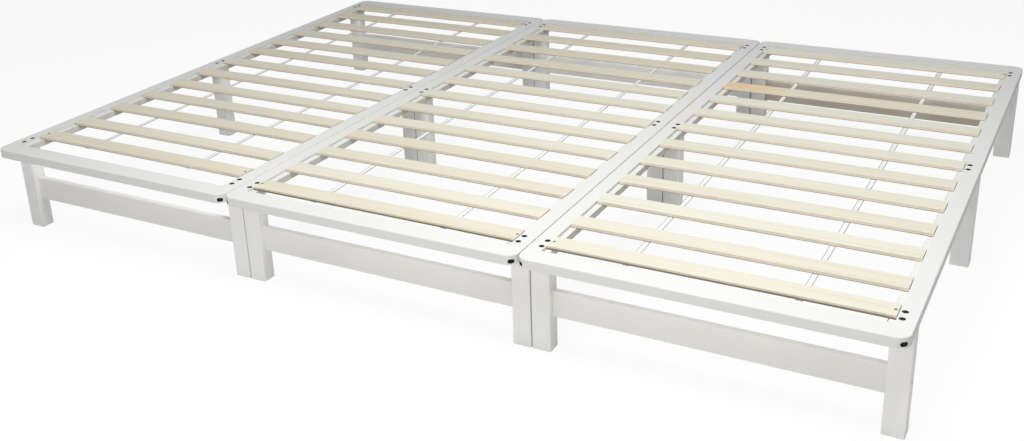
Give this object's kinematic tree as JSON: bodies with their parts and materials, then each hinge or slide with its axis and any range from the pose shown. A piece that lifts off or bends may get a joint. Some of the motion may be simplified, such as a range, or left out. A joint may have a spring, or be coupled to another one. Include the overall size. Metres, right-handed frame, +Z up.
{
  "type": "pallet bed",
  "caption": "Low, wide family bed of free-standing white wooden pallet frames side by side, each a flat rounded rail frame on square legs with a strapped base of raw timber slats.",
  "frame": {"origin": "On the floor, under the middle of the three modules.", "axes": "+X across the modules towards the right one, +Y from the front end to the rear end, +Z up."},
  "size_m": [2.704, 2, 0.29],
  "materials": {
    "white_paint": "white satin paint on wood",
    "slat_wood": "planed raw timber, unfinished",
    "webbing": "flat woven webbing",
    "black_steel": "black oxide",
    "zinc_steel": "zinc plated",
    "dowel_wood": "raw hardwood"
  },
  "bodies": {
    "middle_module": {"middle_module_left_side_rail": "white_paint", "middle_module_right_side_rail": "white_paint", "middle_module_front_end_rail": "white_paint", "middle_module_rear_end_rail": "white_paint", "middle_module_front_left_leg": "white_paint", "middle_module_front_right_leg": "white_paint", "middle_module_mid_left_leg": "white_paint", "middle_module_mid_right_leg": "white_paint", "middle_module_rear_left_leg": "white_paint", "middle_module_rear_right_leg": "white_paint", "middle_module_front_stretcher": "white_paint", "middle_module_rear_stretcher": "white_paint", "middle_module_slats": "slat_wood", "middle_module_slat_straps": "webbing", "middle_module_leg_screws": "black_steel", "middle_module_frame_bolts": "black_steel", "middle_module_nuts": "zinc_steel", "middle_module_corner_plates": "zinc_steel", "middle_module_wood_screws": "zinc_steel", "middle_module_dowels": "dowel_wood"},
    "left_module": {"left_module_left_side_rail": "white_paint", "left_module_right_side_rail": "white_paint", "left_module_front_end_rail": "white_paint", "left_module_rear_end_rail": "white_paint", "left_module_front_left_leg": "white_paint", "left_module_front_right_leg": "white_paint", "left_module_mid_left_leg": "white_paint", "left_module_mid_right_leg": "white_paint", "left_module_rear_left_leg": "white_paint", "left_module_rear_right_leg": "white_paint", "left_module_front_stretcher": "white_paint", "left_module_rear_stretcher": "white_paint", "left_module_slats": "slat_wood", "left_module_slat_straps": "webbing", "left_module_leg_screws": "black_steel", "left_module_frame_bolts": "black_steel", "left_module_nuts": "zinc_steel", "left_module_corner_plates": "zinc_steel", "left_module_wood_screws": "zinc_steel", "left_module_dowels": "dowel_wood"},
    "right_module": {"right_module_left_side_rail": "white_paint", "right_module_right_side_rail": "white_paint", "right_module_front_end_rail": "white_paint", "right_module_rear_end_rail": "white_paint", "right_module_front_left_leg": "white_paint", "right_module_front_right_leg": "white_paint", "right_module_mid_left_leg": "white_paint", "right_module_mid_right_leg": "white_paint", "right_module_rear_left_leg": "white_paint", "right_module_rear_right_leg": "white_paint", "right_module_front_stretcher": "white_paint", "right_module_rear_stretcher": "white_paint", "right_module_slats": "slat_wood", "right_module_slat_straps": "webbing", "right_module_leg_screws": "black_steel", "right_module_frame_bolts": "black_steel", "right_module_nuts": "zinc_steel", "right_module_corner_plates": "zinc_steel", "right_module_wood_screws": "zinc_steel", "right_module_dowels": "dowel_wood"}
  },
  "joints": [
    {"name": "left_module_slide", "type": "slide", "parent": "middle_module", "child": "left_module", "axis": [-1, 0, 0], "range_m": [0, 0.4]},
    {"name": "right_module_slide", "type": "slide", "parent": "middle_module", "child": "right_module", "axis": [1, 0, 0], "range_m": [0, 0.4]}
  ]
}
